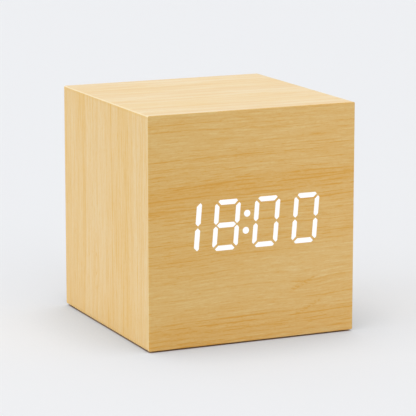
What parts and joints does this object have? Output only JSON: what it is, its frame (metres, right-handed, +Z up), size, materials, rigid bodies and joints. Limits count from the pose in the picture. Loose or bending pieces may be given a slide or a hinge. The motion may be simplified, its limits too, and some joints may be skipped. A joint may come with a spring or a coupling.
{
  "type": "digital alarm clock",
  "caption": "Cube alarm clock in wood veneer with white LED digits shining through its front, push buttons and a power socket at the back, and a hinged battery door in the base.",
  "frame": {"origin": "on the table, under the middle of the case", "axes": "+X to the right seen from the front, +Y to the back, +Z up; the digits face -Y"},
  "size_m": [0.0616, 0.0616, 0.0644],
  "materials": {
    "front_wood": "satin veneer, grain across",
    "side_wood": "satin film, grain round the sides",
    "fibreboard": "raw board",
    "lit": "glowing white",
    "pad_rubber": "matte",
    "steel": "plated",
    "bright_metal": "nickel plate",
    "white_plastic": "moulded",
    "lens_plastic": "milky",
    "led_phosphor": "matte",
    "circuit_board": "solder mask",
    "black_plastic": "fine moulded grain",
    "button_plastic": "satin",
    "cell_wrap": "shrink wrap",
    "blue_sleeve": "shrink sleeve",
    "bead_epoxy": "dipped",
    "grey_cable": "ribbon cable",
    "red_wire": "insulation",
    "black_wire": "insulation"
  },
  "bodies": {
    "case": {"front_veneer": "front_wood", "lit_segments": "lit", "front_panel": "fibreboard", "top_panel": "fibreboard", "bottom_panel": "fibreboard", "left_panel": "fibreboard", "right_panel": "fibreboard", "side_film": "side_wood", "back_panel": "fibreboard", "back_veneer": "front_wood", "corner_blocks": "fibreboard", "back_screws": "steel", "foot_pads": "pad_rubber", "display_housing": "white_plastic", "segment_lenses": "lens_plastic", "led_dice": "led_phosphor", "display_board": "circuit_board", "display_pins": "steel", "main_board": "circuit_board", "standoffs": "white_plastic", "board_screws": "steel", "clock_chip": "black_plastic", "chip_leads": "steel", "crystal_can": "bright_metal", "coin_holder": "black_plastic", "coin_cell": "bright_metal", "coin_clip": "bright_metal", "microphone": "steel", "capacitor": "blue_sleeve", "temperature_sensor": "bead_epoxy", "segment_resistors": "black_plastic", "main_header": "white_plastic", "ribbon_cable": "grey_cable", "control_header": "white_plastic", "control_board": "circuit_board", "control_board_screws": "steel", "control_plate": "black_plastic", "plate_screws": "steel", "switch_bodies": "black_plastic", "power_shell": "bright_metal", "power_tongue": "black_plastic", "buzzer": "black_plastic", "battery_box": "black_plastic", "box_screws": "steel", "battery_cells": "cell_wrap", "contact_plates": "bright_metal", "contact_springs": "bright_metal", "positive_lead": "red_wire", "negative_lead": "black_wire"},
    "set_key": {"set_button": "button_plastic", "set_plunger": "black_plastic"},
    "up_key": {"up_button": "button_plastic", "up_plunger": "black_plastic"},
    "down_key": {"down_button": "button_plastic", "down_plunger": "black_plastic"},
    "door": {"battery_door": "black_plastic"}
  },
  "joints": [
    {"name": "set_press", "type": "slide", "parent": "case", "child": "set_key", "axis": [0, -1, 0], "range_m": [0, 0.00035], "stiffness_N_per_m": 3000},
    {"name": "up_press", "type": "slide", "parent": "case", "child": "up_key", "axis": [0, -1, 0], "range_m": [0, 0.00035], "stiffness_N_per_m": 3000},
    {"name": "down_press", "type": "slide", "parent": "case", "child": "down_key", "axis": [0, -1, 0], "range_m": [0, 0.00035], "stiffness_N_per_m": 3000},
    {"name": "door_swing", "type": "hinge", "parent": "case", "child": "door", "pos_m": [0, -0.015, 0.0015], "axis": [-1, 0, 0], "range_deg": [0, 95]}
  ]
}
